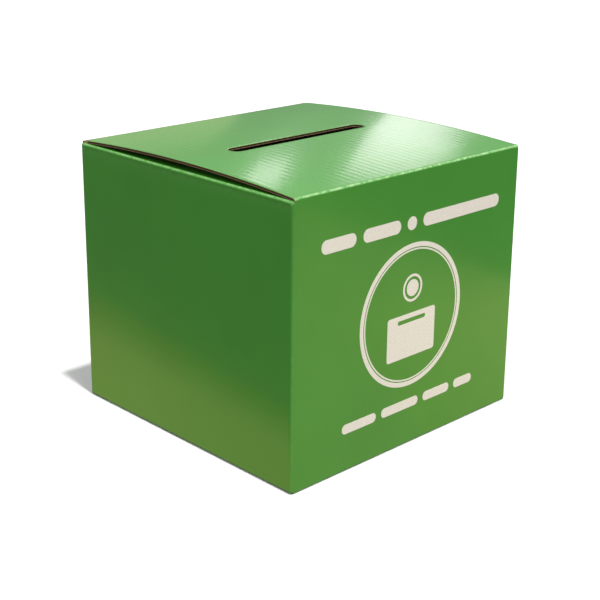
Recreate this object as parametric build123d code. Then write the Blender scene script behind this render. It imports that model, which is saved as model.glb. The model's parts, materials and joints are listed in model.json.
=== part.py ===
from build123d import *
import math
import os

# Donation box: a printed carton of corrugated board, cut and folded from one blank.
# Origin at the middle of the underside, +Z up, front wall towards -Y, in millimetres.

# Size of the closed box
width = 240.0  # over the side walls, X
depth = 236.0  # over the front and back walls, Y
height = 211.0  # from the floor to the lid's two folds, Z
crown = 4.5  # rise of the lid's arch above its folds

# Corrugated board
board = 2.0  # thickness of the three plies
liner = 0.25  # facing paper
medium = 0.2  # fluted paper
flute_pitch = 6.4  # crest to crest
flute_steps = 8  # straight runs along one wave
glue_line = 0.01  # between a crest and a liner
shortest_run = 0.05  # straight run left at a cut edge of the fluting
crushed = 1.0  # thickness of the board in a crease
leg = 1.2  # length of crushed board on each side of a moving fold
crease_overhang = 0.6  # lid's fold past the side walls' inner faces, each end

# Flaps
rest_gap = 0.1  # between boards that lie on each other
edge_gap = 0.6  # front wall's cut lower edge above the floor
back_top_drop = 1.0  # back wall's cut top edge below the lid's folds
lid_inset = 1.5  # lid narrower than the box, each side
cut_corner_gap = 0.5  # between the back wall's cut edge and the side wall's face
tuck_gap = 0.8  # between a tuck flap's fold and the wall it goes behind
tuck_length = 34.0
tuck_half_width = 110.0
tuck_corner = 18.0
tuck_tilt = 8.0  # degrees that a tuck flap leans away from its wall
top_dust_length = 42.0
bottom_dust_length = 100.0
dust_corner = 8.0
dust_fold_gap = 0.5  # dust flap's fold shorter than its wall, each end
climb_angle = 40.0  # degrees past level that a bottom dust flap's neck climbs over the bottom panel
neck_gap = 0.6  # between that neck and the bottom panel's cut edge
dust_edge_inset = 1.4  # dust flap's edge inside the end of its fold
tuck_side_inset = 9.5  # the same, further, on the side where a tuck flap passes
glue_side_inset = 2.0  # the same, on the side where the bottom dust flap passes the glue flap
dust_taper = 8.0  # narrowing towards the tip, each side
glue_flap_length = 34.0
glue_flap_taper = 14.0
glue_flap_low = 9.0
glue_flap_high = 180.0
glue_film = 0.1
glue_margin = 4.0  # glue kept in from the flap's fold and tip

# Money slot in the lid
slot_length = 139.0
slot_width = 13.0
slot_across = -2.5  # its middle, from the middle of the box
slot_cutter = 40.0  # height of the tool that cuts it, each way

# Printed front: places are across and up from the origin
ink = 0.05
ring_centre = (0.5, 102.0)
ring_radius = 55.0
ring_stroke = 3.6
inner_ring_radius = 50.6
inner_ring_stroke = 1.2
header_up = 172.0
header_bar = 10.0
header_words = [(-93.6, -60.0), (-53.0, -14.4), (-7.4, 2.6), (9.6, 97.2)]
footer_up = 32.5
footer_bar = 7.4
footer_words = [(-70.6, -35.4), (-29.6, 10.6), (16.4, 46.6), (52.4, 74.0)]
bar_end_flat = 0.4  # straight part left at a bar's round ends
coin_up = 21.0  # from the ring's centre
coin_radius = 10.5
coin_stroke = 1.9
coin_disc_radius = 6.4
sign_box_up = -15.0
sign_box_size = (52.0, 34.0)
sign_box_corner = 2.4
sign_slot_up = 11.6
sign_slot_size = (30.0, 3.2)
sign_slot_corner = 1.5

half_width = width / 2
half_depth = depth / 2
inner_x = half_width - board  # side walls' inner faces
inner_y = half_depth - board  # front and back walls' inner faces
lid_z = height - board  # axis height of the lid's folds
bottom_z = board  # axis height of the bottom panel's folds
top_dust_z = lid_z - rest_gap - board
bottom_dust_level = bottom_z + rest_gap  # height of the bottom dust flaps' undersides
tuck_y = inner_y - tuck_gap - board  # distance of a tuck flap's fold axis from the middle
lid_half = half_width - lid_inset
right_wall_end = inner_y - glue_film - board  # where the glue flap's fold begins

# Neck of a bottom dust flap, measured in from its fold's axis: it turns past level round the fold,
# climbs by more than the bottom panel's thickness and levels out
climb = math.radians(climb_angle)
climb_rise = rest_gap + board * math.cos(climb)
neck_end = board * math.sin(climb) + climb_rise / math.tan(climb)
bottom_half = inner_x - neck_end - neck_gap  # bottom panel's half width

# Arch of the lid: its underside passes through the axes of its two folds
arch_half = (inner_y + tuck_y) / 2
arch_y = (tuck_y - inner_y) / 2
arch_radius = (arch_half**2 + crown**2) / (2 * crown)
arch_z = lid_z + crown - arch_radius
arch_end = math.degrees(math.asin(arch_half / arch_radius))
arch_panel = arch_end - math.degrees(leg / arch_radius)

LEFT = Vector(-1, 0, 0)
RIGHT = Vector(1, 0, 0)
FRONT = Vector(0, -1, 0)
BACK = Vector(0, 1, 0)
DOWN = Vector(0, 0, -1)
UP = Vector(0, 0, 1)

parts_folder = "parts"
os.makedirs(parts_folder, exist_ok=True)


def save(name, shape):
    """Write one node of the assembly."""
    export_step(shape, os.path.join(parts_folder, name + ".step"))


def wave_face(low, high):
    """Section of the fluted paper between two places, with its wave along X and height along Y."""
    step = flute_pitch / flute_steps
    crest = math.cos(math.pi / flute_steps)
    reach = (board - 2 * liner - 2 * glue_line - medium) / 2 / crest
    first = math.ceil(low / step - 0.5)
    last = math.floor(high / step - 0.5)
    stations = [(k + 0.5) * step for k in range(first, last + 1)]
    stations = [s for s in stations if low + shortest_run < s < high - shortest_run]

    def level(across):
        before = (math.floor(across / step - 0.5) + 0.5) * step
        share = (across - before) / step
        waves = [math.cos(2 * math.pi * s / flute_pitch) for s in (before, before + step)]
        return board / 2 + reach * (waves[0] * (1 - share) + waves[1] * share)

    stations = [low] + stations + [high]
    upper = [(s, level(s) + medium / 2) for s in stations]
    lower = [(s, level(s) - medium / 2) for s in reversed(stations)]
    return make_face(Polyline(*upper, *lower, close=True))


def flat_fluting(low, high, start, end):
    """Fluted paper of a flat panel, with its wave along X and its flutes along Y."""
    return extrude(Plane.XZ.offset(-end) * wave_face(low, high), end - start)


def panel_plane(hinge, heading, inward):
    """Plane on a panel's printed face: Y runs from its fold to its tip, Z into the board."""
    return Plane(hinge - inward * board, x_dir=heading.cross(inward), z_dir=inward)


def save_panel(name, plane, outline, flutes_across=False, trimmed=False):
    """Write the outer liner, the fluting and the inner liner of one flat panel."""
    low, high = outline.bounding_box().min, outline.bounding_box().max
    if flutes_across:
        fluting = flat_fluting(-high.Y, -low.Y, low.X, high.X)
        fluting = Rot(0, 0, -90) * fluting
    else:
        fluting = flat_fluting(low.X, high.X, low.Y, high.Y)
    if trimmed:
        fluting = fluting & extrude(outline, board)
    save(name + "_outer_liner", plane * extrude(outline, liner))
    save(name + "_fluting", plane * fluting)
    save(name + "_inner_liner", plane * Pos(0, 0, board - liner) * extrude(outline, liner))


def rectangle(low, high, start, end):
    """Rectangle from its limits along X and Y."""
    return Pos((low + high) / 2, (start + end) / 2) * Rectangle(high - low, end - start)


def rounded_tip(points, radius):
    """Outline from its corner points, with its two furthest corners rounded."""
    face = make_face(Polyline(*points, close=True))
    tips = face.vertices().sort_by(Axis.Y)[-2:]
    return fillet(tips, radius)


def crease_face(turn, legs):
    """Section of a crease: the fold's axis is at the origin and the board arrives along Y."""
    end = math.radians(180 - turn)
    out = Vector(math.cos(end), math.sin(end))
    on = Vector(math.sin(end), -math.cos(end))
    half = math.radians(180 - turn / 2)
    middle = Vector(math.cos(half), math.sin(half))
    near = board - crushed
    start = Vector(-1, 0)
    edges = [
        ThreePointArc(start * board, middle * board, out * board),
        ThreePointArc(start * near, middle * near, out * near),
    ]
    if legs:
        drop = Vector(0, -leg)
        edges += [
            Line(start * board + drop, start * board),
            Line(start * near + drop, start * near),
            Line(start * board + drop, start * near + drop),
            Line(out * board, out * board + on * leg),
            Line(out * near, out * near + on * leg),
            Line(out * board + on * leg, out * near + on * leg),
        ]
    else:
        edges += [Line(start * board, start * near), Line(out * board, out * near)]
    return make_face(edges)


def neck_face():
    """Section of a bottom dust flap's crease: past level round the fold, a climb, then level again."""
    near = board - crushed
    end = math.pi / 2 - climb
    out = Vector(math.cos(end), math.sin(end))
    half = (math.pi + end) / 2
    middle = Vector(math.cos(half), math.sin(half))
    start = Vector(-1, 0)
    drop = Vector(0, -leg)
    near_end = near * math.sin(climb) + (near * math.cos(climb) + rest_gap + crushed) / math.tan(climb)
    tip = neck_end + leg
    path = Polyline(
        out * board,
        (neck_end, -rest_gap),
        (tip, -rest_gap),
        (tip, -rest_gap - crushed),
        (near_end, -rest_gap - crushed),
        out * near,
    )
    return make_face([
        ThreePointArc(start * board, middle * board, out * board),
        ThreePointArc(start * near, middle * near, out * near),
        Polyline(start * board, start * board + drop, start * near + drop, start * near),
        path,
    ])


def save_crease(name, axis, arrive, outward, length, turn=90.0, legs=True, face=None):
    """Write one crease: the board arrives along one direction and turns inward by some degrees."""
    inward = outward * -1
    plane = Plane(axis, x_dir=inward, z_dir=inward.cross(arrive))
    section = face or crease_face(turn, legs)
    save(name, extrude(plane * section, length / 2, both=True))


def dust_outline(start, flap_length, low, high):
    """Dust flap between two places along its fold, narrowing towards its tip."""
    points = [
        (low, start),
        (high, start),
        (high - dust_taper, flap_length),
        (low + dust_taper, flap_length),
    ]
    return rounded_tip(points, dust_corner)


def mirrored(outline):
    """The same outline with its left and right exchanged."""
    return mirror(outline, about=Plane.YZ)


def build_walls():
    """Four walls of the sleeve, the three folds between them and the glued seam."""
    front_top = lid_z - leg
    front = panel_plane(Vector(0, -inner_y, 0), UP, BACK)
    save_panel("front_wall", front, rectangle(-inner_x, inner_x, edge_gap, front_top))

    back = panel_plane(Vector(0, inner_y, 0), UP, FRONT)
    back_outline = rectangle(-inner_x, half_width - cut_corner_gap, bottom_z + leg, height - back_top_drop)
    save_panel("back_wall", back, back_outline)

    side_low, side_high = bottom_z + leg, top_dust_z - leg
    left = panel_plane(Vector(-inner_x, 0, 0), UP, RIGHT)
    save_panel("left_wall", left, rectangle(-inner_y, inner_y, side_low, side_high))
    right = panel_plane(Vector(inner_x, 0, 0), UP, LEFT)
    save_panel("right_wall", right, rectangle(-right_wall_end, inner_y, side_low, side_high))

    corner_length = front_top - edge_gap
    middle = (front_top + edge_gap) / 2
    save_crease("front_left_crease", Vector(-inner_x, -inner_y, middle), LEFT, FRONT,
                corner_length, legs=False)
    save_crease("front_right_crease", Vector(inner_x, -inner_y, middle), RIGHT, FRONT,
                corner_length, legs=False)
    back_length = lid_z - bottom_z - leg
    middle = (lid_z + bottom_z + leg) / 2
    save_crease("back_left_crease", Vector(-inner_x, inner_y, middle), LEFT, BACK,
                back_length, legs=False)

    middle = (side_low + side_high) / 2
    save_crease("glue_flap_crease", Vector(inner_x, right_wall_end, middle), BACK, RIGHT,
                side_high - side_low, legs=False)
    glue_plane = panel_plane(Vector(inner_x, right_wall_end, 0), LEFT, FRONT)
    points = [
        (glue_flap_low, 0),
        (glue_flap_high, 0),
        (glue_flap_high - glue_flap_taper, glue_flap_length),
        (glue_flap_low + glue_flap_taper, glue_flap_length),
    ]
    outline = make_face(Polyline(*points, close=True))
    save_panel("glue_flap", glue_plane, outline, flutes_across=True, trimmed=True)
    film_low, film_high = glue_flap_low + glue_flap_taper, glue_flap_high - glue_flap_taper
    film = extrude(rectangle(film_low, film_high, glue_margin, glue_flap_length - glue_margin), glue_film)
    save("seam_glue", glue_plane * Pos(0, 0, -glue_film) * film)


def build_lid():
    """Arched lid with the money slot, and the tuck flap that goes down inside the back wall."""
    slot = extrude(SlotOverall(slot_length, slot_width), slot_cutter, both=True)
    slot = Pos(slot_across, arch_y, height) * slot

    def arched(section, low_radius):
        raised = Plane.XZ * Pos(0, low_radius) * section
        swept = revolve(raised, Axis.X, 2 * arch_panel)
        return Pos(0, arch_y, arch_z) * Rot(-arch_panel, 0, 0) * swept

    ply = rectangle(-lid_half, lid_half, 0, liner)
    save("lid_inner_liner", arched(ply, arch_radius) - slot)
    save("lid_fluting", arched(wave_face(-lid_half, lid_half), arch_radius) - slot)
    save("lid_outer_liner", arched(ply, arch_radius + board - liner) - slot)

    save_crease("lid_crease", Vector(0, -inner_y, lid_z), UP, FRONT,
                2 * (inner_x + crease_overhang), turn=90 - arch_end)
    slope = math.radians(arch_end)
    arrive = Vector(0, math.cos(slope), -math.sin(slope))
    outward = Vector(0, math.sin(slope), math.cos(slope))
    fold = Vector(0, tuck_y, lid_z)
    save_crease("lid_tuck_crease", fold, arrive, outward,
                2 * tuck_half_width, turn=90 + tuck_tilt - arch_end)
    build_tuck("lid_tuck", fold, DOWN, FRONT)


def build_tuck(name, fold, along_wall, inward):
    """Tuck flap with rounded corners, leaning away from the wall that it goes behind."""
    tilt = math.radians(tuck_tilt)
    heading = along_wall * math.cos(tilt) + inward * math.sin(tilt)
    facing = inward * math.cos(tilt) - along_wall * math.sin(tilt)
    points = [
        (-tuck_half_width, leg),
        (tuck_half_width, leg),
        (tuck_half_width, tuck_length),
        (-tuck_half_width, tuck_length),
    ]
    outline = rounded_tip(points, tuck_corner)
    save_panel(name, panel_plane(fold, heading, facing), outline, trimmed=True)


def build_bottom():
    """Flat bottom panel, hinged on the back wall, with its tuck flap inside the front wall."""
    hinge = Vector(0, inner_y, bottom_z)
    save_crease("bottom_crease", hinge, DOWN, BACK, 2 * bottom_half)
    reach = inner_y + tuck_y
    outline = rectangle(-bottom_half, bottom_half, leg, reach - leg)
    save_panel("bottom_panel", panel_plane(hinge, FRONT, UP), outline)
    fold = Vector(0, -tuck_y, bottom_z)
    save_crease("bottom_tuck_crease", fold, FRONT, DOWN, 2 * tuck_half_width,
                turn=90 + tuck_tilt)
    build_tuck("bottom_tuck", fold, UP, BACK)


def build_dust_flaps():
    """Four dust flaps, one at each end of each side wall."""
    sides = [
        ("left", -inner_x, LEFT, RIGHT, inner_y - dust_fold_gap),
        ("right", inner_x, RIGHT, LEFT, right_wall_end - dust_fold_gap),
    ]
    for side, across, outward, heading, rear in sides:
        front_edge = dust_fold_gap - inner_y
        crease_middle = (front_edge + rear) / 2
        crease_length = rear - front_edge

        axis = Vector(across, crease_middle, top_dust_z)
        save_crease("top_dust_" + side + "_crease", axis, UP, outward, crease_length)
        low, high = front_edge + dust_edge_inset, rear - dust_edge_inset
        outline = dust_outline(leg, top_dust_length, low, high - tuck_side_inset)
        if side == "right":
            outline = mirrored(outline)
        plane = panel_plane(Vector(across, 0, top_dust_z), heading, DOWN)
        save_panel("top_dust_" + side, plane, outline, trimmed=True)

        axis = Vector(across, crease_middle, bottom_z)
        save_crease("bottom_dust_" + side + "_crease", axis, DOWN, outward, crease_length,
                    face=neck_face())
        outline = dust_outline(neck_end + leg, bottom_dust_length,
                               low + tuck_side_inset, high - glue_side_inset)
        if side == "left":
            outline = mirrored(outline)
        plane = panel_plane(Vector(across, 0, bottom_dust_level + board), heading, UP)
        save_panel("bottom_dust_" + side, plane, outline, trimmed=True)


def bars(words, middle_up, bar):
    """A row of rounded bars, one for each word of a line of print."""
    return [
        Pos((start + end) / 2, middle_up) * RectangleRounded(end - start, bar, (bar - bar_end_flat) / 2)
        for start, end in words
    ]


def build_print():
    """Cream ink on the front wall: bars for lines of print and a plain coin-and-box sign."""
    shapes = bars(header_words, header_up, header_bar)
    shapes += bars(footer_words, footer_up, footer_bar)
    box_slot = Pos(0, sign_slot_up) * RectangleRounded(*sign_slot_size, sign_slot_corner)
    sign = [
        Circle(ring_radius) - Circle(ring_radius - ring_stroke),
        Circle(inner_ring_radius) - Circle(inner_ring_radius - inner_ring_stroke),
        Pos(0, coin_up) * (Circle(coin_radius) - Circle(coin_radius - coin_stroke)),
        Pos(0, coin_up) * Circle(coin_disc_radius),
        Pos(0, sign_box_up) * (RectangleRounded(*sign_box_size, sign_box_corner) - box_slot),
    ]
    shapes += [Pos(*ring_centre) * shape for shape in sign]
    plane = Plane(Vector(0, -half_depth, 0), x_dir=RIGHT, z_dir=FRONT)
    solids = [plane * extrude(shape, ink) for shape in shapes]
    save("front_print", Compound(children=[s for solid in solids for s in solid.solids()]))


build_walls()
build_lid()
build_bottom()
build_dust_flaps()
build_print()
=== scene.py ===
import json
import math
import random

import bmesh
import bpy
from mathutils import Euler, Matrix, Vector, noise


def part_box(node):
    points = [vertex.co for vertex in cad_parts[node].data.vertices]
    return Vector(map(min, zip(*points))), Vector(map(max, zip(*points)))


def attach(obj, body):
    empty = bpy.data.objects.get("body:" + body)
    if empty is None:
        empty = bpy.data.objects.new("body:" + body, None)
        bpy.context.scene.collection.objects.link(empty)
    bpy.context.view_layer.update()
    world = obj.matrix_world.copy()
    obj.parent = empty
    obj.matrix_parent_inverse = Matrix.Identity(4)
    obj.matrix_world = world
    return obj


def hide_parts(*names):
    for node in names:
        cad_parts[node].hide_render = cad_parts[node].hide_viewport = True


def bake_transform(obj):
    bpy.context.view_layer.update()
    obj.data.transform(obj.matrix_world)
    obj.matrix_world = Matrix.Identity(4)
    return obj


bl_info = {
    "name": "Donation carton",
    "version": (1, 0, 0),
    "blender": (4, 5, 0),
    "location": "3D View > Sidebar > Carton",
    "description": "Dresses a folded corrugated donation box: printed skins, folds, kraft plies and a studio",
    "category": "Object",
}

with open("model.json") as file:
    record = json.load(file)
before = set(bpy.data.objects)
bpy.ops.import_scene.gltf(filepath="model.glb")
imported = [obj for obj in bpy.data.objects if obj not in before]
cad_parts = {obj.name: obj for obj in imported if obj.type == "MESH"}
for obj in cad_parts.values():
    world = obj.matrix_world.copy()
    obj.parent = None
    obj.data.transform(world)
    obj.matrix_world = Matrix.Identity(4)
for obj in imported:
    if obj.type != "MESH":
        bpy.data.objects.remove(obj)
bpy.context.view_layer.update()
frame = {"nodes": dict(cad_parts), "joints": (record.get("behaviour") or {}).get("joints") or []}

MM = 0.001
LEFT = Vector((-1, 0, 0))
RIGHT = Vector((1, 0, 0))
FRONT = Vector((0, -1, 0))
BACK = Vector((0, 1, 0))
DOWN = Vector((0, 0, -1))
UP = Vector((0, 0, 1))

JOINTS = {joint["name"]: joint for joint in frame["joints"]}


def pivot(joint_name):
    """A point on a joint's axis, in metres."""
    return Vector(JOINTS[joint_name]["pos_m"])


def low_corner(node):
    """Lowest corner of a CAD node."""
    return Vector(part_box(node)[0])


def high_corner(node):
    """Highest corner of a CAD node."""
    return Vector(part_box(node)[1])


# Sizes read from the frame
BOARD = high_corner("bottom_panel_inner_liner").z - low_corner("bottom_panel_outer_liner").z
LINER = high_corner("front_wall_outer_liner").y - low_corner("front_wall_outer_liner").y
LID_PIVOT = pivot("lid_hinge")
TUCK_PIVOT = pivot("lid_tuck_hinge")
LEG = LID_PIVOT.z - high_corner("front_wall_outer_liner").z
CROWN = high_corner("lid_outer_liner").z - BOARD - LID_PIVOT.z
ARCH_HALF = (TUCK_PIVOT.y - LID_PIVOT.y) / 2
ARCH_Y = (TUCK_PIVOT.y + LID_PIVOT.y) / 2
ARCH_RADIUS = (ARCH_HALF**2 + CROWN**2) / (2 * CROWN)
ARCH_Z = LID_PIVOT.z + CROWN - ARCH_RADIUS
ARCH_END = math.asin(ARCH_HALF / ARCH_RADIUS)
NECK_END = abs(low_corner("bottom_dust_left_outer_liner").x - pivot("bottom_dust_left_hinge").x) - LEG
NECK_RISE = low_corner("bottom_dust_left_outer_liner").z - BOARD

# Angles of the folded board, the same as in the CAD
TUCK_TILT = math.radians(8)  # lean of a tuck flap away from its wall
CLIMB = math.radians(40)  # turn of a bottom dust flap's fold past level

# Fineness of the meshes
CORNER_TURNS = 8  # flats round an upright fold
FOLD_TURNS = 12  # flats round a moving fold
EDGE_ROWS = [inset * MM for inset in (0, 1, 2.5, 4.5, 7, 11, 16)]  # from a wall's top and bottom
MIDDLE_ROWS = 14  # between those
CUT_ROWS = (0.25, 0.6, 1.1, 1.8)  # millimetres in from the lid's raw edges
SLOT_ROWS = (0.25, 0.6, 1.1, 1.8, 3.0)  # millimetres out from the money slot
LID_ROW_STEP = 9 * MM
FLUTE_PARTS = 6  # strips in one flute of the walls, the lid and the ink
FLAP_FLUTE_PARTS = 4  # the same on the flaps
FOLD_FLUTE_PARTS = 5  # the same along a moving fold
WELD = 1e-7  # metres; nearer points of a made mesh are joined
CAD_WELD = 1e-6  # the same for a copied CAD mesh
FLAT_ANGLE = math.radians(0.05)  # faces of a copied CAD mesh this flat are merged
SMOOTH_ANGLE = 35.0  # degrees; sharper edges stay sharp
INK_SMOOTH_ANGLE = 20.0

# Relief of the boards
EDGE_FADE = 3 * MM  # reach in which the washboard dies out at an edge
SHORT_FADE = 2 * MM  # the same at a flap's tip, a lid's side and a fold's end
CORNER_FADE = 4 * MM  # the same beside an upright fold
CALM_REACH = 20 * MM  # reach in which the slow waves die out at a cut edge or a fold
FOLD_CALM = 0.08  # the same beside an upright fold, as a share of half the wall
WALL_PACE = 12  # slow waves in a metre of wall
LID_PACE = 14
CUT_PRESS = 0.7 * MM  # reach of the die's press at a cut edge of the lid
CUT_PRESS_POWER = 1.3
RIPPLE_SHARE = 0.6  # of a fold's dent, that follows the flutes; the rest is random

# Materials of a board piece, by number
PRINTED, KRAFT = 0, 1

# How pale the print is drawn, nought to one: whitening of the strained print at the folds together with a
# painted highlight where they catch the light
CORNER_WHITENING_AND_SHEEN = 0.08  # most, round an upright fold
CAP_WHITENING_AND_SHEEN = 0.15  # rounded ends of the upright folds
# Painted highlight: a paler band down the side walls from their top fold, where the walls catch the light
WALL_TOP_PAINTED_HIGHLIGHT = 0.14  # side walls, at their top fold
TOP_DUST_WHITENING_AND_SHEEN = 0.45
BOTTOM_DUST_WHITENING_AND_SHEEN = 0.3
NECK_WHITENING_AND_SHEEN = 0.3  # before the strip's own share

# Gloss film over the print
FILM_IOR = 1.46
FILM_COAT = 0.35
FILM_COAT_ROUGHNESS = 0.10

# Lamps: name, light, spread in degrees, and the way to it
LAMPS = (
    ("key_light", 1.12, 3, (-0.03, -0.25, 0.967)),
    ("front_light", 0.43, 80, (0.3, -0.88, 0.36)),
    ("side_light", 0.38, 80, (-0.9, -0.1, 0.42)),
)
# Air round the studio: height in the ramp, nought at the bottom and one overhead, and tone
AIR_TONES = ((0.30, 0.17), (0.40, 0.14), (0.48, 0.12), (0.51, 0.22), (0.61, 0.32), (0.72, 0.50))
AIR_BOTTOM = 0.16
AIR_TOP = 1.0
FLOOR_REACH = 12.0
FLOOR_DROP = 0.2 * MM  # floor under the box's underside, so that the two don't flicker
LAYER_STEP = 0.02 * MM  # between the layers of a soft card


class CartonBoardSettings(bpy.types.PropertyGroup):
    """Sizes of the corrugated board's fine relief"""

    flute_pitch: bpy.props.FloatProperty(
        name="Flute pitch", description="Crest to crest of the fluted paper",
        default=6.4 * MM, unit="LENGTH", precision=4)
    washboard: bpy.props.FloatProperty(
        name="Lid washboard", description="How far the lid's printed liner sinks between two flutes",
        default=0.028 * MM, unit="LENGTH", precision=6)
    wall_washboard: bpy.props.FloatProperty(
        name="Wall washboard", description="The same on the walls and the flaps",
        default=0.012 * MM, unit="LENGTH", precision=6)
    bead: bpy.props.FloatProperty(
        name="Fold beads", description="Depth of the small dents along a moving fold, most at each flute",
        default=0.28 * MM, unit="LENGTH", precision=5)
    crushed: bpy.props.FloatProperty(
        name="Crushed board", description="Thickness of the board inside a fold",
        default=0.8 * MM, unit="LENGTH", precision=4)
    fold_radius: bpy.props.FloatProperty(
        name="Fold radius", description="Outer radius of a level moving fold, away from its ends",
        default=1.5 * MM, unit="LENGTH", precision=5)
    fold_end: bpy.props.FloatProperty(
        name="Fold ends", description="Reach in which a fold's radius grows to the board's thickness",
        default=7 * MM, unit="LENGTH", precision=4)
    unevenness: bpy.props.FloatProperty(
        name="Unevenness", description="How far the flat boards wander in slow waves",
        default=0.09 * MM, unit="LENGTH", precision=6)
    shoulder: bpy.props.FloatProperty(
        name="Shoulder", description="How far a side wall leans in just under its top fold",
        default=0.18 * MM, unit="LENGTH", precision=6)
    shoulder_reach: bpy.props.FloatProperty(
        name="Shoulder reach", description="How quickly that lean dies away down the wall",
        default=3 * MM, unit="LENGTH", precision=4)
    cut_sink: bpy.props.FloatProperty(
        name="Cut edge sink", description="How far the die presses the printed liner down at a cut edge",
        default=0.16 * MM, unit="LENGTH", precision=6)
    slot_length: bpy.props.FloatProperty(
        name="Slot length", description="Money slot, end to end",
        default=139 * MM, unit="LENGTH")
    slot_across: bpy.props.FloatProperty(
        name="Slot place", description="Middle of the money slot, across the lid",
        default=-2.5 * MM, unit="LENGTH", precision=4)
    slot_width: bpy.props.FloatProperty(
        name="Slot width", description="Money slot, across",
        default=13 * MM, unit="LENGTH")


class CartonColourSettings(bpy.types.PropertyGroup):
    """Colours of the printed and plain papers"""

    green: bpy.props.FloatVectorProperty(
        name="Print green", description="Printed liner under its gloss film",
        default=(0.045, 0.225, 0.022), size=3, subtype="COLOR", min=0, max=1)
    # Paler green of the folds: whitening of the strained print, and a painted highlight along the folds' lit
    # edges
    fold_green_whitened_and_lit: bpy.props.FloatVectorProperty(
        name="Fold green", description="Stretched print along a fold",
        default=(0.31, 0.48, 0.24), size=3, subtype="COLOR", min=0, max=1)
    # Its own kraft brown, darkened below plain kraft as painted shade for the shaded raw edges
    kraft: bpy.props.FloatVectorProperty(
        name="Kraft liner", description="Plain inside paper",
        default=(0.26, 0.175, 0.095), size=3, subtype="COLOR", min=0, max=1)
    # Fluting's own brown darkened well below plain kraft as painted shade for the shaded flutes at the cut
    # edges
    fluting: bpy.props.FloatVectorProperty(
        name="Fluting", description="Fluted paper seen at cut edges",
        default=(0.10, 0.066, 0.036), size=3, subtype="COLOR", min=0, max=1)
    cream: bpy.props.FloatVectorProperty(
        name="Cream ink", description="Print on the front wall",
        default=(0.72, 0.67, 0.58), size=3, subtype="COLOR", min=0, max=1)
    glue: bpy.props.FloatVectorProperty(
        name="Glue", description="Dried glue of the seam",
        default=(0.72, 0.68, 0.52), size=3, subtype="COLOR", min=0, max=1)


class CartonStageSettings(bpy.types.PropertyGroup):
    """Camera and light of the studio"""

    camera_place: bpy.props.FloatVectorProperty(
        name="Camera place", description="Where the camera stands",
        default=(-0.6615, -0.6823, 0.4204), size=3, subtype="TRANSLATION", unit="LENGTH")
    azimuth: bpy.props.FloatProperty(
        name="Azimuth", description="Camera's turn round the box, nought along +Y",
        default=math.radians(-44.16), subtype="ANGLE")
    elevation: bpy.props.FloatProperty(
        name="Elevation", description="Camera's height above the horizon",
        default=math.radians(16.875), subtype="ANGLE")
    roll: bpy.props.FloatProperty(
        name="Roll", description="Camera's turn about its own view",
        default=math.radians(0.534), subtype="ANGLE")
    lens: bpy.props.FloatProperty(
        name="Lens", description="Focal length on a 36 mm sensor", default=75.95)
    shift: bpy.props.FloatProperty(
        name="Shift", description="Camera's window moved down, as a share of its width", default=-0.099)
    floor_white: bpy.props.FloatProperty(
        name="Floor white", description="Paleness of the floor", default=0.62, min=0, max=1)


def board_settings():
    """Fine relief settings of this scene."""
    return bpy.context.scene.carton_board


def colours():
    """Colour settings of this scene."""
    return bpy.context.scene.carton_colours


# ---------------------------------------------------------------- materials


def new_material(name):
    """Empty node material with one principled shader; gives the material, its nodes, links and shader."""
    found = bpy.data.materials.get(name)
    if found:
        return found, None, None, None
    material = bpy.data.materials.new(name)
    material.use_nodes = True
    nodes, links = material.node_tree.nodes, material.node_tree.links
    return material, nodes, links, nodes["Principled BSDF"]


def noise_of(nodes, links, source, scale, detail, stretch=(1, 1, 1), rough=0.5):
    """Noise texture on object coordinates, stretched along the axes."""
    mapping = nodes.new("ShaderNodeMapping")
    mapping.inputs["Scale"].default_value = stretch
    links.new(source, mapping.inputs["Vector"])
    texture = nodes.new("ShaderNodeTexNoise")
    texture.inputs["Scale"].default_value = scale
    texture.inputs["Detail"].default_value = detail
    texture.inputs["Roughness"].default_value = rough
    links.new(mapping.outputs["Vector"], texture.inputs["Vector"])
    return texture.outputs["Fac"]


def remap(nodes, links, value, low, high, new_low, new_high):
    """Value carried from one range to another."""
    node = nodes.new("ShaderNodeMapRange")
    for key, number in zip(("From Min", "From Max", "To Min", "To Max"), (low, high, new_low, new_high)):
        node.inputs[key].default_value = number
    links.new(value, node.inputs["Value"])
    return node.outputs["Result"]


def blend_colour(nodes, links, factor, first, second):
    """Mix of two colours; each may be a tuple or a socket."""
    node = nodes.new("ShaderNodeMix")
    node.data_type = "RGBA"
    links.new(factor, node.inputs["Factor"])
    for key, colour in (("A", first), ("B", second)):
        socket = [s for s in node.inputs if s.name == key and s.type == "RGBA"][0]
        if isinstance(colour, tuple):
            socket.default_value = (*colour, 1)
        else:
            links.new(colour, socket)
    return [s for s in node.outputs if s.type == "RGBA"][0]


def bump_of(nodes, links, height, strength, distance, onto=None):
    """Bump from a height value."""
    node = nodes.new("ShaderNodeBump")
    node.inputs["Strength"].default_value = strength
    node.inputs["Distance"].default_value = distance
    links.new(height, node.inputs["Height"])
    if onto is not None:
        links.new(onto, node.inputs["Normal"])
    return node.outputs["Normal"]


def shade(colour, factor):
    """Colour made lighter or darker."""
    return tuple(min(1.0, channel * factor) for channel in colour)


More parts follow.
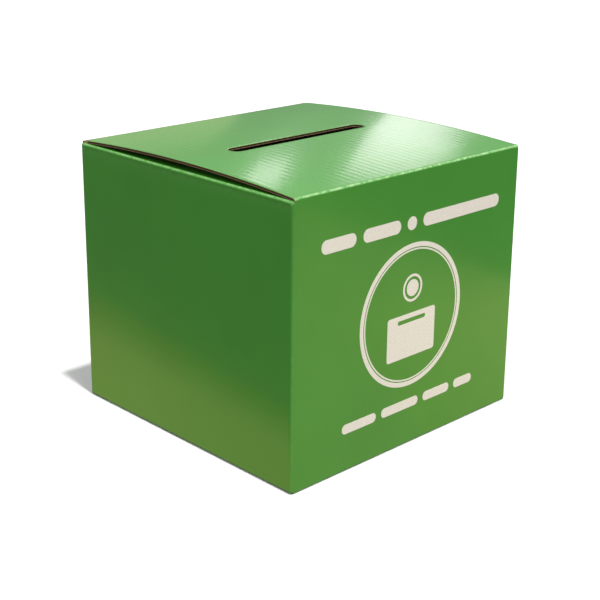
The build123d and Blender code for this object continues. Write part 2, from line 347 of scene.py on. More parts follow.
def gloss_print_green():
    """Green print under a gloss film: slight ink mottle, soft film texture, paler where 'fold' is high:
    whitening of the strained print plus a painted highlight on the folds.
    """
    material, nodes, links, shader = new_material("gloss_print_green")
    if nodes is None:
        return material
    green = tuple(colours().green)
    place = nodes.new("ShaderNodeTexCoord").outputs["Object"]
    mottle = noise_of(nodes, links, place, 900, 4)
    cloud = noise_of(nodes, links, place, 14, 3)
    tone = blend_colour(nodes, links, remap(nodes, links, cloud, 0.3, 0.7, 0, 1),
                        shade(green, 0.955), shade(green, 1.045))
    speck = remap(nodes, links, mottle, 0.35, 0.65, 0, 0.08)
    tone = blend_colour(nodes, links, speck, tone, shade(green, 1.35))
    # Paler along the folds: print whitening and painted highlight, broken by cracks
    fold = nodes.new("ShaderNodeAttribute")
    fold.attribute_name = "fold"
    crack_noise = noise_of(nodes, links, place, 300, 6, rough=0.72)
    whitening_and_sheen = nodes.new("ShaderNodeMath")
    whitening_and_sheen.operation = "MULTIPLY"
    links.new(fold.outputs["Fac"], whitening_and_sheen.inputs[0])
    links.new(remap(nodes, links, crack_noise, 0.40, 0.60, 0.12, 1.0), whitening_and_sheen.inputs[1])
    tone = blend_colour(nodes, links, whitening_and_sheen.outputs["Value"], tone, tuple(colours().fold_green_whitened_and_lit))
    links.new(tone, shader.inputs["Base Color"])
    film = noise_of(nodes, links, place, 620, 3)
    links.new(remap(nodes, links, film, 0.3, 0.7, 0.19, 0.25), shader.inputs["Roughness"])
    shader.inputs["IOR"].default_value = FILM_IOR
    shader.inputs["Coat Weight"].default_value = FILM_COAT
    shader.inputs["Coat Roughness"].default_value = FILM_COAT_ROUGHNESS
    shader.inputs["Coat IOR"].default_value = FILM_IOR
    ridge = bump_of(nodes, links, film, 0.05, 0.00004)
    links.new(bump_of(nodes, links, crack_noise, 0.04, 0.00006, ridge), shader.inputs["Normal"])
    return material


def kraft_paper(name, colour, fibre_scale):
    """Plain brown paper: long fibres lying every way, flecks and a soft matt surface."""
    material, nodes, links, shader = new_material(name)
    if nodes is None:
        return material
    place = nodes.new("ShaderNodeTexCoord").outputs["Object"]
    strands = [
        noise_of(nodes, links, place, fibre_scale, 5, stretch=stretch, rough=0.65)
        for stretch in ((1, 0.12, 1), (0.12, 1, 1), (1, 1, 0.12))
    ]
    mix = nodes.new("ShaderNodeMath")
    mix.operation = "ADD"
    links.new(strands[0], mix.inputs[0])
    links.new(strands[1], mix.inputs[1])
    total = nodes.new("ShaderNodeMath")
    total.operation = "ADD"
    links.new(mix.outputs["Value"], total.inputs[0])
    links.new(strands[2], total.inputs[1])
    fibres = remap(nodes, links, total.outputs["Value"], 1.15, 1.85, 0, 1)
    tone = blend_colour(nodes, links, fibres, shade(colour, 0.80), shade(colour, 1.18))
    cloud = noise_of(nodes, links, place, 55, 3)
    tone = blend_colour(nodes, links, remap(nodes, links, cloud, 0.35, 0.65, 0, 0.35),
                        tone, shade(colour, 0.86))
    fleck = noise_of(nodes, links, place, 1300, 2)
    tone = blend_colour(nodes, links, remap(nodes, links, fleck, 0.66, 0.74, 0, 0.6),
                        tone, shade(colour, 0.45))
    links.new(tone, shader.inputs["Base Color"])
    shader.inputs["Roughness"].default_value = 0.82
    shader.inputs["Specular IOR Level"].default_value = 0.25
    links.new(bump_of(nodes, links, fibres, 0.35, 0.00008), shader.inputs["Normal"])
    return material


def kraft_liner():
    """Inside paper of the board, its own kraft brown darkened as painted shade."""
    return kraft_paper("kraft_liner_paper", tuple(colours().kraft), 700)


def kraft_fluting_with_painted_shade():
    """Fluted paper of the board, its kraft brown darkened as painted shade."""
    return kraft_paper("kraft_fluting_paper", tuple(colours().fluting), 900)


def cream_ink():
    """Cream ink under the gloss film, with a fine screen mottle."""
    material, nodes, links, shader = new_material("cream_ink_print")
    if nodes is None:
        return material
    cream = tuple(colours().cream)
    place = nodes.new("ShaderNodeTexCoord").outputs["Object"]
    mottle = noise_of(nodes, links, place, 1100, 4)
    tone = blend_colour(nodes, links, remap(nodes, links, mottle, 0.3, 0.7, 0, 1),
                        shade(cream, 0.93), shade(cream, 1.04))
    links.new(tone, shader.inputs["Base Color"])
    links.new(remap(nodes, links, mottle, 0.3, 0.7, 0.24, 0.34), shader.inputs["Roughness"])
    shader.inputs["IOR"].default_value = FILM_IOR
    shader.inputs["Coat Weight"].default_value = FILM_COAT
    shader.inputs["Coat Roughness"].default_value = FILM_COAT_ROUGHNESS
    links.new(bump_of(nodes, links, mottle, 0.08, 0.00004), shader.inputs["Normal"])
    return material


def dried_glue():
    """Dried white glue: slightly clear, with small bubbles."""
    material, nodes, links, shader = new_material("dried_seam_glue")
    if nodes is None:
        return material
    glue = tuple(colours().glue)
    place = nodes.new("ShaderNodeTexCoord").outputs["Object"]
    bubbles = noise_of(nodes, links, place, 500, 4)
    tone = blend_colour(nodes, links, remap(nodes, links, bubbles, 0.3, 0.7, 0, 1),
                        shade(glue, 0.85), shade(glue, 1.1))
    links.new(tone, shader.inputs["Base Color"])
    shader.inputs["Roughness"].default_value = 0.35
    links.new(bump_of(nodes, links, bubbles, 0.3, 0.0001), shader.inputs["Normal"])
    return material


def floor_white():
    """Plain pale studio floor with a faint grain."""
    material, nodes, links, shader = new_material("studio_floor")
    if nodes is None:
        return material
    white = bpy.context.scene.carton_stage.floor_white
    place = nodes.new("ShaderNodeTexCoord").outputs["Object"]
    grain = noise_of(nodes, links, place, 60, 4)
    tone = blend_colour(nodes, links, remap(nodes, links, grain, 0.3, 0.7, 0, 1),
                        (white * 0.995,) * 3, (white,) * 3)
    links.new(tone, shader.inputs["Base Color"])
    shader.inputs["Roughness"].default_value = 0.9
    shader.inputs["Specular IOR Level"].default_value = 0.1
    return material


# ---------------------------------------------------------------- mesh helpers


def piece_from(name, vertices, faces, materials, indices=None, whitening_sheen_values=None):
    """New mesh object, smooth except at sharp edges; the last argument says how pale each vertex is drawn,
    from strained print and painted highlight.
    """
    mesh = bpy.data.meshes.new(name)
    mesh.from_pydata([tuple(v) for v in vertices], [], faces)
    for material in materials:
        mesh.materials.append(material)
    if indices:
        mesh.polygons.foreach_set("material_index", indices)
    if whitening_sheen_values:
        mesh.attributes.new("fold", "FLOAT", "POINT").data.foreach_set("value", whitening_sheen_values)
    work = bmesh.new()
    work.from_mesh(mesh)
    bmesh.ops.remove_doubles(work, verts=work.verts, dist=WELD)
    bmesh.ops.recalc_face_normals(work, faces=work.faces)
    return piece_from_bmesh(name, work, materials)


def piece_from_bmesh(name, work, materials, smooth_angle=SMOOTH_ANGLE):
    """New mesh object from a bmesh, which is freed."""
    bmesh.ops.triangulate(work, faces=[face for face in work.faces if len(face.verts) > 4])
    mesh = bpy.data.meshes.new(name)
    work.to_mesh(mesh)
    work.free()
    for material in materials:
        mesh.materials.append(material)
    piece = bpy.data.objects.new(name, mesh)
    bpy.context.scene.collection.objects.link(piece)
    mesh.shade_smooth()
    mesh.set_sharp_from_angle(angle=math.radians(smooth_angle))
    return piece


def washboard(across, trough, depth):
    """How far the printed liner sinks across the flutes, most where a flute leaves it (negative)."""
    phase = 2 * math.pi * (across - trough) / board_settings().flute_pitch
    return -depth * (1 + math.cos(phase)) / 2


def wander(spot, pace):
    """Slow waves of a flat board, never proud of it (negative)."""
    return board_settings().unevenness * (noise.noise(spot * pace) - 1) / 2


def fade(distance, reach):
    """Smooth rise from nought at an edge to one at some distance from it."""
    share = min(max(distance / reach, 0.0), 1.0)
    return share * share * (3 - 2 * share)


class Sheets:
    """Closed paper sheets gathered into one mesh."""

    def __init__(self):
        self.vertices, self.faces, self.indices, self.whitening_sheen_values = [], [], [], []

    def add(self, rows, thickness):
        """Add a sheet from rows of (outer point, inward direction, paleness of the print: whitening and
        painted highlight); a row may shrink to a point.

        Its outer face is printed, and its inner face and cut edges are kraft.
        """
        columns = len(rows[0])
        first = len(self.vertices)
        count = len(rows) * columns
        points = [entry for row in rows for entry in row]
        self.vertices += [point for point, _, _ in points]
        self.vertices += [point + inward * thickness for point, inward, _ in points]
        self.whitening_sheen_values += [stretch for _, _, stretch in points] + [0.0] * count
        for r in range(len(rows) - 1):
            for c in range(columns - 1):
                corner = first + r * columns + c
                quad = (corner, corner + 1, corner + columns + 1, corner + columns)
                self.put(quad, PRINTED)
                self.put(tuple(count + k for k in reversed(quad)), KRAFT)
        last = (len(rows) - 1) * columns
        edge = list(range(columns))
        edge += [r * columns + columns - 1 for r in range(1, len(rows))]
        edge += [last + c for c in range(columns - 2, -1, -1)]
        edge += [r * columns for r in range(len(rows) - 2, 0, -1)]
        for k, here in enumerate(edge):
            there = edge[(k + 1) % len(edge)]
            self.put((first + there, first + here, first + count + here, first + count + there), KRAFT)

    def put(self, face, index):
        """Add one face and its material."""
        self.faces.append(face)
        self.indices.append(index)

    def piece(self, name, materials):
        """The gathered sheets as one object."""
        return piece_from(name, self.vertices, self.faces, materials, self.indices, self.whitening_sheen_values)


# ---------------------------------------------------------------- sleeve


WALLS = [
    ("back_wall", BACK, LEFT), ("left_wall", LEFT, FRONT),
    ("front_wall", FRONT, RIGHT), ("right_wall", RIGHT, BACK),
]


def sleeve_stations():
    """Places round the sleeve's outer face, from the back wall's cut edge to the glue flap's fold.

    Each is (place, outward, low, high, sink, share of the way in from the wall's folds, paleness of the print
    from whitening and painted highlight).
    """
    step = board_settings().flute_pitch / FLUTE_PARTS
    corner_high = pivot("top_dust_left_hinge").z
    corner_low = pivot("bottom_dust_left_hinge").z
    stations, corners = [], []
    for number, (wall, outward, heading) in enumerate(WALLS):
        low, high = low_corner(wall + "_outer_liner"), high_corner(wall + "_outer_liner")
        middle = (low + high) / 2
        flat = Vector((middle.x, middle.y, 0)) + outward * (abs(outward.dot(high - low)) / 2)
        half = abs(heading.dot(high - low)) / 2
        count = round(2 * half / step)
        for k in range(count + 1):
            along = -half + 2 * half * k / count
            edge = half - abs(along)
            sink = washboard(along, -half, board_settings().wall_washboard) * fade(edge, CORNER_FADE)
            stations.append((flat + heading * along, outward, low.z, high.z, sink, edge / half, 0.0))
        after = WALLS[number + 1][1] if number < 3 else BACK
        centre = flat + heading * half - outward * BOARD
        corners.append((centre, outward, after))
        for k in range(1, CORNER_TURNS + (number == 3)):
            angle = math.pi / 2 * k / CORNER_TURNS
            way = outward * math.cos(angle) + after * math.sin(angle)
            # Palest at the middle of the upright fold: print whitening and painted highlight where the
            # rounded fold catches the light
            stretch = CORNER_WHITENING_AND_SHEEN * math.sin(2 * angle)
            stations.append((centre + way * BOARD, way, corner_low, corner_high, 0.0, 0.0, stretch))
    return stations, corners


def wall_relief(spot, outward, share):
    """Slow waves of a wall and its shoulder under the top fold; the printed front stays flat."""
    if outward.dot(FRONT) > 0.9:
        return 0.0
    board = board_settings()
    below = max(pivot("top_dust_left_hinge").z - LEG - spot.z, 0.0)
    shoulder = board.shoulder * math.exp(-below / board.shoulder_reach)
    return (wander(spot, WALL_PACE) * fade(below, CALM_REACH) - shoulder) * fade(share, FOLD_CALM)


def corner_cap(centre, first, second, heading):
    """Rounded end of an upright fold: an eighth of a ball, narrowing to its top."""
    rows = []
    for i in range(CORNER_TURNS + 1):
        rise = math.pi / 2 * i / CORNER_TURNS
        row = []
        for j in range(CORNER_TURNS + 1):
            swing = math.pi / 2 * j / CORNER_TURNS
            flat = first * math.cos(swing) + second * math.sin(swing)
            way = flat * math.cos(rise) + heading * math.sin(rise)
            # The whole cap is drawn pale: print whitening and painted highlight
            row.append((centre + way * BOARD, -way, CAP_WHITENING_AND_SHEEN))
        rows.append(row)
    return rows


class CARTON_OT_printed_sleeve(bpy.types.Operator):
    """Make the printed skin of the four walls and their upright folds"""

    bl_idname = "carton.printed_sleeve"
    bl_label = "Printed sleeve"

    def execute(self, context):
        stations, corners = sleeve_stations()
        edge_rows = len(EDGE_ROWS)
        levels = 2 * edge_rows + MIDDLE_ROWS
        rows = []
        for level in range(levels):
            row = []
            for place, outward, low, high, sink, share, stretch in stations:
                inner_low, inner_high = low + EDGE_ROWS[-1], high - EDGE_ROWS[-1]
                if level < edge_rows:
                    z = low + EDGE_ROWS[level]
                elif level < edge_rows + MIDDLE_ROWS:
                    z = inner_low + (inner_high - inner_low) * (level - edge_rows + 1) / (MIDDLE_ROWS + 1)
                else:
                    z = high - EDGE_ROWS[levels - 1 - level]
                spot = Vector((place.x, place.y, z))
                relief = sink * fade(min(z - low, high - z), EDGE_FADE) + wall_relief(spot, outward, share)
                # Side walls get the painted highlight band under the top fold; the other walls get the
                # upright folds' paleness
                if abs(outward.x) > 0.9:
                    whitened_and_lit = WALL_TOP_PAINTED_HIGHLIGHT * math.exp((z - high) / board_settings().shoulder_reach)
                else:
                    whitened_and_lit = stretch
                row.append((spot + outward * relief, -outward, whitened_and_lit))
            rows.append(row)
        sheets = Sheets()
        sheets.add(rows, LINER)
        for centre, outward, after in corners:
            for hinge, heading in (("top_dust_left_hinge", UP), ("bottom_dust_left_hinge", DOWN)):
                place = Vector((centre.x, centre.y, pivot(hinge).z))
                sheets.add(corner_cap(place, outward, after, heading), LINER)
        piece = sheets.piece("printed_sleeve", [gloss_print_green(), kraft_liner()])
        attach(piece, "sleeve")
        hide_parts("front_wall_outer_liner", "left_wall_outer_liner", "right_wall_outer_liner",
                    "back_wall_outer_liner", "front_left_crease", "front_right_crease",
                    "back_left_crease", "glue_flap_crease")
        return {"FINISHED"}


# ---------------------------------------------------------------- flat printed skins


def cut_by_lines(work, direction, places):
    """Cut every face of a bmesh along planes across a direction."""
    for place in places:
        geometry = work.verts[:] + work.edges[:] + work.faces[:]
        bmesh.ops.bisect_plane(work, geom=geometry, dist=WELD,
                               plane_co=direction * place, plane_no=direction)


def lines_between(low, high, step):
    """Whole multiples of a step strictly between two places."""
    first, last = math.ceil(low / step), math.floor(high / step)
    return [k * step for k in range(first, last + 1) if low + 1e-5 < k * step < high - 1e-5]


def paper_indices(mesh, outward_at):
    """Green on the outer face, kraft on the inner face and the cut edges."""
    for polygon in mesh.polygons:
        facing = polygon.normal.dot(outward_at(polygon.center))
        polygon.material_index = PRINTED if facing > 0.5 else KRAFT


def copied_mesh(node):
    """A fresh bmesh with a CAD node's shape, welded."""
    work = bmesh.new()
    work.from_mesh(frame["nodes"][node].data)
    bmesh.ops.remove_doubles(work, verts=work.verts, dist=CAD_WELD)
    bmesh.ops.dissolve_limit(work, angle_limit=FLAT_ANGLE, verts=work.verts, edges=work.edges)
    return work


def flap_skin(flap, body, outward, across, along):
    """Rippled printed skin of one flat flap, from its CAD outer liner."""
    node = flap + "_outer_liner"
    board = board_settings()
    work = copied_mesh(node)
    spans = [v.co.dot(across) for v in work.verts]
    reach = [v.co.dot(along) for v in work.verts]
    strip = board.flute_pitch / FLAP_FLUTE_PARTS
    cut_by_lines(work, across, lines_between(min(spans), max(spans), strip))
    start, end = min(reach), max(reach)
    rows = [start + SHORT_FADE, end - SHORT_FADE]
    rows += [start + (end - start) * k / 4 for k in (1, 2, 3)]
    cut_by_lines(work, along, rows)
    for vertex in work.verts:
        place = vertex.co.dot(across)
        edge = min(place - min(spans), max(spans) - place)
        depth = min(vertex.co.dot(along) - start, end - vertex.co.dot(along))
        sink = washboard(place, min(spans), board.wall_washboard)
        vertex.co += outward * (sink * fade(edge, EDGE_FADE) * fade(depth, SHORT_FADE))
    piece = piece_from_bmesh(flap + "_print", work, [gloss_print_green(), kraft_liner()])
    paper_indices(piece.data, lambda centre: outward)
    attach(piece, body)
    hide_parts(node)


class CARTON_OT_printed_flaps(bpy.types.Operator):
    """Make the printed skins of the bottom, the tuck flaps, the dust flaps and the glue flap"""

    bl_idname = "carton.printed_flaps"
    bl_label = "Printed flaps"

    def execute(self, context):
        lean = math.sin(TUCK_TILT)
        stand = math.cos(TUCK_TILT)
        flaps = [
            ("bottom_panel", "bottom", DOWN, RIGHT, BACK),
            ("lid_tuck", "lid_tuck", Vector((0, stand, -lean)), RIGHT, Vector((0, -lean, -stand))),
            ("bottom_tuck", "bottom_tuck", Vector((0, -stand, lean)), RIGHT, Vector((0, lean, stand))),
            ("top_dust_left", "top_dust_left", UP, BACK, RIGHT),
            ("top_dust_right", "top_dust_right", UP, BACK, LEFT),
            ("bottom_dust_left", "bottom_dust_left", DOWN, BACK, RIGHT),
            ("bottom_dust_right", "bottom_dust_right", DOWN, BACK, LEFT),
            ("glue_flap", "sleeve", BACK, LEFT, UP),
        ]
        for flap, body, outward, across, along in flaps:
            flap_skin(flap, body, outward, across, along)
        return {"FINISHED"}


# ---------------------------------------------------------------- lid


def slot_distance(x, y):
    """Distance outside the money slot's edge, in plan."""
    board = board_settings()
    half = (board.slot_length - board.slot_width) / 2
    dx = max(abs(x - board.slot_across) - half, 0.0)
    return math.hypot(dx, y - ARCH_Y) - board.slot_width / 2


class CARTON_OT_printed_lid(bpy.types.Operator):
    """Make the arched printed skin of the lid, with its money slot"""

    bl_idname = "carton.printed_lid"
    bl_label = "Printed lid"

    def execute(self, context):
        board = board_settings()
        node = "lid_outer_liner"
        work = copied_mesh(node)
        half = high_corner(node).x
        lines = lines_between(-half, half, board.flute_pitch / FLUTE_PARTS)
        for inset in CUT_ROWS:
            lines += [half - inset * MM, inset * MM - half]
        cut_by_lines(work, RIGHT, lines)
        low_y, high_y = low_corner(node).y, high_corner(node).y
        rows = lines_between(low_y, high_y, LID_ROW_STEP)
        for side in (-1, 1):
            for inset in SLOT_ROWS:
                rows.append(ARCH_Y + side * (board.slot_width / 2 + inset * MM))
        cut_by_lines(work, BACK, rows)
        outer_radius = ARCH_RADIUS + BOARD
        for vertex in work.verts:
            x, y = vertex.co.x, vertex.co.y
            spoke = Vector((0, y - ARCH_Y, vertex.co.z - ARCH_Z))
            depth = LINER if spoke.length < outer_radius - LINER / 2 else 0.0
            edge = half - abs(x)
            ends = min(y - low_y, high_y - y)
            relief = washboard(x, -half, board.washboard) * fade(edge, SHORT_FADE) * fade(ends, EDGE_FADE)
            cut = min(edge, max(slot_distance(x, y), 0.0))
            relief -= board.cut_sink * math.exp(-((cut / CUT_PRESS) ** CUT_PRESS_POWER))
            relief += wander(vertex.co, LID_PACE) * fade(cut, CALM_REACH) * fade(ends, CALM_REACH)
            spoke = spoke.normalized() * (outer_radius - depth + relief)
            vertex.co = Vector((x, ARCH_Y + spoke.y, ARCH_Z + spoke.z))
        piece = piece_from_bmesh("lid_print", work, [gloss_print_green(), kraft_liner()])
        centre = Vector((0, ARCH_Y, ARCH_Z))
        paper_indices(piece.data, lambda spot: (Vector((0, spot.y, spot.z)) - centre).normalized())
        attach(piece, "lid")
        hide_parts(node)
        return {"FINISHED"}


# ---------------------------------------------------------------- folds


def fold_section(turn, radius, climbs=False):
    """Outer face of a fold's section as (inward, onward, stretch), with the hinge at the origin; the stretch
    sets the dents and how pale the print is drawn, whitening plus painted highlight.

    The board arrives along the onward way on its outer side, and turns inward by an arc of some radius.
    A fold that climbs turns past level, and its neck rises over the bottom panel and levels out.
    Also gives the place in the list where the turning ends.
    """
    middle = math.pi - turn / 2
    away = (BOARD - radius) / math.cos(turn / 2)
    centre = (away * math.cos(middle), away * math.sin(middle))
    section = [(-BOARD, -LEG + (LEG + centre[1]) * k / 3, 0.0) for k in range(3)]
    for k in range(FOLD_TURNS + 1):
        angle = math.pi - turn * k / FOLD_TURNS
        # Palest at the fold's apex, where it catches the light: print whitening and painted highlight; the
        # same share sets the dents
        stretch = math.sin(math.pi * k / FOLD_TURNS) ** 0.6
        section.append((centre[0] + radius * math.cos(angle), centre[1] + radius * math.sin(angle), stretch))
    out, on = section[-1], (math.sin(math.pi - turn), -math.cos(math.pi - turn))
    last = len(section) - 1
    if climbs:
        level = -NECK_RISE
        for share in (0.3, 0.6, 0.85):
            run = share * (level - out[1]) / on[1]
            section.append((out[0] + on[0] * run, out[1] + on[1] * run, NECK_WHITENING_AND_SHEEN))
        section += [(NECK_END + LEG * share, level, 0.0) for share in (0.15, 0.5, 1.0)]
    else:
        end = (BOARD * math.cos(math.pi - turn) + on[0] * LEG, BOARD * math.sin(math.pi - turn) + on[1] * LEG)
        for k in (1, 2, 3):
            section.append((out[0] + (end[0] - out[0]) * k / 3, out[1] + (end[1] - out[1]) * k / 3, 0.0))
        last += 3
    return section, last


def section_normal(section, k):
    """Outward direction of a section at one of its points."""
    before, after = section[max(k - 1, 0)], section[min(k + 1, len(section) - 1)]
    du, dv = after[0] - before[0], after[1] - before[1]
    length = math.hypot(du, dv)
    return -dv / length, du / length


def fold_strip(name, joint_name, arrive, outward, turn, span, strain=1.0, climbs=False):
    """One moving fold: a strip of crushed board between its two bodies."""
    board = board_settings()
    inward = -outward
    axis = RIGHT if abs(arrive.x) + abs(outward.x) < 0.5 else BACK
    hinge = pivot(joint_name)
    hinge = hinge - axis * hinge.dot(axis)
    low, high = span
    count = round((high - low) / (board.flute_pitch / FOLD_FLUTE_PARTS))
    unevenness = random.Random(name)
    rows = []
    for k in range(count + 1):
        along = low + (high - low) * k / count
        ripple = (1 + math.cos(2 * math.pi * (along - low) / board.flute_pitch)) / 2
        dent = board.bead * (RIPPLE_SHARE * ripple + (1 - RIPPLE_SHARE) * unevenness.uniform(0, 1))
        dent *= fade(min(along - low, high - along), SHORT_FADE)
        tighter = 0.0 if climbs else fade(min(along - low, high - along), board.fold_end)
        section, last = fold_section(turn, BOARD + (board.fold_radius - BOARD) * tighter, climbs)
        row = []
        for place, (u, v, stretch) in enumerate(section):
            nu, nv = section_normal(section, place)
            way = inward * nu + arrive * nv
            spot = hinge + axis * along + inward * u + arrive * v
            # Paleness of the print, stretch times strain: whitening and painted highlight
            row.append((spot - way * dent * stretch, -way, stretch * strain))
        rows.append(row)
    sheets = Sheets()
    sheets.add(rows, board.crushed)
    piece = sheets.piece(name + "_fold", [gloss_print_green(), kraft_liner()])
    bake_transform(piece)
    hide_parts(name + "_crease")


class CARTON_OT_folds(bpy.types.Operator):
    """Make the eight moving folds of the lid, the bottom, the tuck flaps and the dust flaps"""

    bl_idname = "carton.folds"
    bl_label = "Folds"

    def execute(self, context):
        right_angle = math.pi / 2
        lid_half = high_corner("lid_outer_liner").x
        tuck_half = high_corner("lid_tuck_outer_liner").x
        bottom_half = high_corner("bottom_panel_outer_liner").x
        arrive = Vector((0, math.cos(ARCH_END), -math.sin(ARCH_END)))
        outward = Vector((0, math.sin(ARCH_END), math.cos(ARCH_END)))
        fold_strip("lid", "lid_hinge", UP, FRONT, right_angle - ARCH_END, (-lid_half, lid_half))
        fold_strip("lid_tuck", "lid_tuck_hinge", arrive, outward,
                   right_angle + TUCK_TILT - ARCH_END, (-tuck_half, tuck_half))
        fold_strip("bottom", "bottom_hinge", DOWN, BACK, right_angle, (-bottom_half, bottom_half))
        fold_strip("bottom_tuck", "bottom_tuck_hinge", FRONT, DOWN,
                   right_angle + TUCK_TILT, (-tuck_half, tuck_half))
        for side, way in (("left", LEFT), ("right", RIGHT)):
            wall = side + "_wall_outer_liner"
            span = (low_corner(wall).y, high_corner(wall).y)
            top, bottom = "top_dust_" + side, "bottom_dust_" + side
            # Dust folds drawn less pale than the lid's fold: whitening and painted highlight
            fold_strip(top, top + "_hinge", UP, way, right_angle, span, strain=TOP_DUST_WHITENING_AND_SHEEN)
            fold_strip(bottom, bottom + "_hinge", DOWN, way, right_angle + CLIMB, span,
                       strain=BOTTOM_DUST_WHITENING_AND_SHEEN, climbs=True)
        return {"FINISHED"}


# ---------------------------------------------------------------- plain plies and ink


class CARTON_OT_kraft_plies(bpy.types.Operator):
    """Give the fluted papers, the inside papers and the seam glue their finish"""

    bl_idname = "carton.kraft_plies"
    bl_label = "Kraft plies"

    def execute(self, context):
        for name, node in frame["nodes"].items():
            finish = None
            if name.endswith("_inner_liner"):
                finish = kraft_liner()
            elif name.endswith("_fluting"):
                finish = kraft_fluting_with_painted_shade()
            elif name == "seam_glue":
                finish = dried_glue()
            if finish:
                for slot in node.material_slots:
                    slot.material = finish
        return {"FINISHED"}


class CARTON_OT_front_ink(bpy.types.Operator):
    """Lay the cream print on the front wall, following the liner's washboard"""

    bl_idname = "carton.front_ink"
    bl_label = "Front ink"

    def execute(self, context):
        board = board_settings()
        work = copied_mesh("front_print")
        low, high = low_corner("front_print"), high_corner("front_print")
        cut_by_lines(work, RIGHT, lines_between(low.x, high.x, board.flute_pitch / FLUTE_PARTS))
        edge = low_corner("front_wall_outer_liner").x
        for vertex in work.verts:
            vertex.co += FRONT * washboard(vertex.co.x, edge, board.wall_washboard)
        piece = piece_from_bmesh("front_ink", work, [cream_ink()], INK_SMOOTH_ANGLE)
        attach(piece, "sleeve")
        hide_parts("front_print")
        return {"FINISHED"}


# ---------------------------------------------------------------- studio


def glow(name, colour, strength):
    """Light-giving material of a studio card."""
    material = bpy.data.materials.new(name)
    material.use_nodes = True
    nodes, links = material.node_tree.nodes, material.node_tree.links
    nodes.clear()
    shine = nodes.new("ShaderNodeEmission")
    shine.inputs["Color"].default_value = (*colour, 1)
    shine.inputs["Strength"].default_value = strength
    output = nodes.new("ShaderNodeOutputMaterial")
    links.new(shine.outputs["Emission"], output.inputs["Surface"])
    return material


def card(name, corners, colour, strength):
    """Studio card that only reflections see."""
    piece = piece_from(name, corners, [tuple(range(len(corners)))], [glow(name, colour, strength)])
    piece.visible_camera = False
    piece.visible_diffuse = False
    piece.visible_shadow = False


def soft_card(name, corners, about, ways, colour, layers, height=0.0):
    """Flat card on the floor with a soft edge: layers of (size, strength), the smallest one uppermost."""
    for number, (size, strength) in enumerate(layers):
        grown = []
        for corner in corners:
            x, y = (a + (c - a) * (1 + (size - 1) * way) for a, c, way in zip(about, corner, ways))
            grown.append((x, y, height - number * LAYER_STEP))
        card("%s_%d" % (name, number), grown, colour, strength)


def toward(azimuth, elevation, distance=3.0):
    """Place in a direction, in degrees: azimuth from +Y towards +X, and elevation."""
    turn, rise = math.radians(azimuth), math.radians(elevation)
    way = Vector((math.sin(turn) * math.cos(rise), math.cos(turn) * math.cos(rise), math.sin(rise)))
    return way * distance


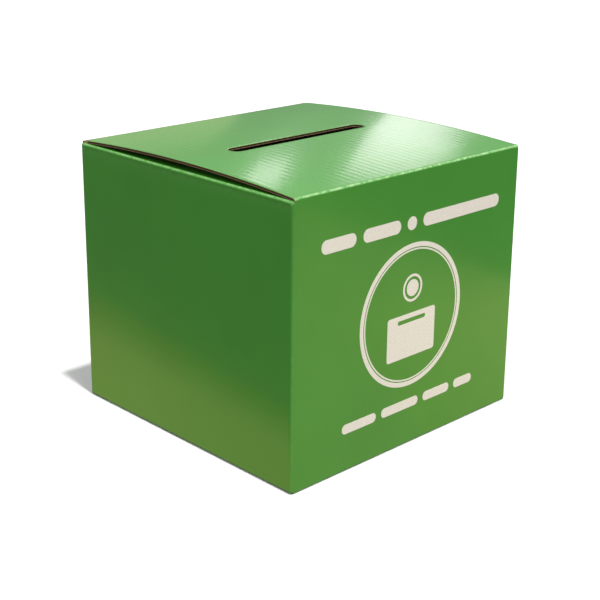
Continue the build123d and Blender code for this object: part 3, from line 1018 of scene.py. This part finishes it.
class CARTON_OT_studio(bpy.types.Operator):
    """Make the floor, the lights, the cards and the camera"""

    bl_idname = "carton.studio"
    bl_label = "Studio"

    def execute(self, context):
        self.floor()
        self.air(context.scene)
        self.lamps(context.scene)
        self.cards()
        self.camera(context.scene)
        context.scene.view_settings.view_transform = "Standard"
        context.scene.view_settings.look = "None"
        return {"FINISHED"}

    def floor(self):
        """Plain pale floor, left out of reflections and bounced light."""
        turns = ((-1, -1), (1, -1), (1, 1), (-1, 1))
        corners = [(x * FLOOR_REACH, y * FLOOR_REACH, -FLOOR_DROP) for x, y in turns]
        floor = piece_from("floor", corners, [(0, 1, 2, 3)], [floor_white()])
        floor.visible_glossy = False
        floor.visible_diffuse = False

    def air(self, scene):
        """Light from all round: dimmest just under the horizon, brightest overhead."""
        world = bpy.data.worlds.new("studio_air")
        scene.world = world
        world.use_nodes = True
        nodes, links = world.node_tree.nodes, world.node_tree.links
        air = nodes["Background"]
        place = nodes.new("ShaderNodeTexCoord")
        split = nodes.new("ShaderNodeSeparateXYZ")
        links.new(place.outputs["Generated"], split.inputs["Vector"])
        ramp = nodes.new("ShaderNodeValToRGB")
        ramp.color_ramp.elements[0].position = 0.0
        ramp.color_ramp.elements[0].color = (AIR_BOTTOM, AIR_BOTTOM, AIR_BOTTOM, 1)
        ramp.color_ramp.elements[1].position = 1.0
        ramp.color_ramp.elements[1].color = (AIR_TOP, AIR_TOP, AIR_TOP, 1)
        for position, tone in AIR_TONES:
            ramp.color_ramp.elements.new(position).color = (tone, tone, tone, 1)
        level = remap(nodes, links, split.outputs["Z"], -1, 1, 0, 1)
        links.new(level, ramp.inputs["Fac"])
        links.new(ramp.outputs["Color"], air.inputs["Color"])
        air.inputs["Strength"].default_value = 1.0

    def lamps(self, scene):
        """A high key lamp, and wide soft ones from the front and the side."""
        for name, light, spread, place in LAMPS:
            lamp = bpy.data.lights.new(name, "SUN")
            lamp.energy = math.pi * light
            lamp.angle = math.radians(spread)
            holder = bpy.data.objects.new(name, lamp)
            holder.rotation_mode = "QUATERNION"
            holder.rotation_quaternion = Vector(place).to_track_quat("Z", "Y")
            holder.visible_glossy = False
            scene.collection.objects.link(holder)

    def cards(self):
        """Soft windows behind the box and warm patches on the floor, seen only in the gloss."""
        pale = (1.0, 0.90, 0.98)
        card("wide_window", [toward(*c) for c in ((48.5, 18.4), (49.3, 12.6), (52.6, 15.2), (56.0, 21.4),
                                                  (53.4, 23.8), (48.4, 23.2))], pale, 2.7)
        card("narrow_window", [toward(*c) for c in ((41.8, 20.2), (44.1, 20.4), (44.7, 24.8), (42.0, 24.4))],
             pale, 3.3)
        card("low_wall", [toward(*c) for c in ((15, -3), (40.4, -3), (39.6, 10), (38.0, 15), (15, 15))],
             (0.98, 1.0, 0.74), 0.52)
        warm = (1.0, 0.93, 0.34)
        left = [(-0.121, -0.2), (-0.178, -0.2), (-0.215, 0.12), (-0.255, 0.45), (-0.121, 0.45)]
        soft_card("left_floor_glow", left, (-0.121, 0), (1, 0), warm, ((0.8, 0.98), (1.0, 0.70), (1.2, 0.42)))
        card("front_floor_glow", [(-0.3, -0.119, 0), (0.36, -0.119, 0), (0.37, -0.3, 0), (0.42, -0.75, 0),
                                  (-0.3, -0.75, 0)], (1.0, 0.86, 0.52), 0.72)
        right = [(0.10, -0.119), (0.35, -0.119), (0.36, -0.31), (0.22, -0.31)]
        soft_card("right_floor_glow", right, (0.35, -0.2), (1, 1), (1.0, 0.9, 0.4),
                  ((0.6, 1.10), (0.8, 1.0), (1.0, 0.92), (1.2, 0.86), (1.4, 0.79)), height=MM)

    def camera(self, scene):
        """Camera beyond the front left corner, looking a little down."""
        stage = scene.carton_stage
        lens = bpy.data.cameras.new("studio_camera")
        lens.lens = stage.lens
        lens.sensor_width = 36.0
        lens.shift_y = stage.shift
        camera = bpy.data.objects.new("studio_camera", lens)
        scene.collection.objects.link(camera)
        camera.location = stage.camera_place
        turn = Euler((math.pi / 2 - stage.elevation, 0, stage.azimuth), "XYZ").to_matrix()
        camera.rotation_mode = "QUATERNION"
        camera.rotation_quaternion = (turn @ Euler((0, 0, stage.roll)).to_matrix()).to_quaternion()
        scene.camera = camera


class CARTON_PT_panel(bpy.types.Panel):
    """Sizes, colours and making steps of the donation carton"""

    bl_label = "Donation carton"
    bl_idname = "CARTON_PT_panel"
    bl_space_type = "VIEW_3D"
    bl_region_type = "UI"
    bl_category = "Carton"

    def draw(self, context):
        layout = self.layout
        for group in (context.scene.carton_board, context.scene.carton_colours, context.scene.carton_stage):
            box = layout.box()
            for key in group.bl_rna.properties.keys():
                if key not in ("rna_type", "name"):
                    box.prop(group, key)
        for operator in OPERATORS:
            layout.operator(operator.bl_idname)


GROUPS = {
    "carton_board": CartonBoardSettings,
    "carton_colours": CartonColourSettings,
    "carton_stage": CartonStageSettings,
}
OPERATORS = [
    CARTON_OT_printed_sleeve,
    CARTON_OT_printed_flaps,
    CARTON_OT_printed_lid,
    CARTON_OT_folds,
    CARTON_OT_kraft_plies,
    CARTON_OT_front_ink,
    CARTON_OT_studio,
]


def register():
    """Register the settings, the operators and the panel."""
    for name, group in GROUPS.items():
        bpy.utils.register_class(group)
        setattr(bpy.types.Scene, name, bpy.props.PointerProperty(type=group))
    for operator in OPERATORS:
        bpy.utils.register_class(operator)
    bpy.utils.register_class(CARTON_PT_panel)


def unregister():
    """Remove what register added."""
    bpy.utils.unregister_class(CARTON_PT_panel)
    for operator in reversed(OPERATORS):
        bpy.utils.unregister_class(operator)
    for name, group in GROUPS.items():
        delattr(bpy.types.Scene, name)
        bpy.utils.unregister_class(group)


def main():
    """Make every piece and the studio."""
    register()
    bpy.ops.carton.printed_sleeve()
    bpy.ops.carton.printed_flaps()
    bpy.ops.carton.printed_lid()
    bpy.ops.carton.folds()
    bpy.ops.carton.kraft_plies()
    bpy.ops.carton.front_ink()
    bpy.ops.carton.studio()


if __name__ == "__main__":
    main()
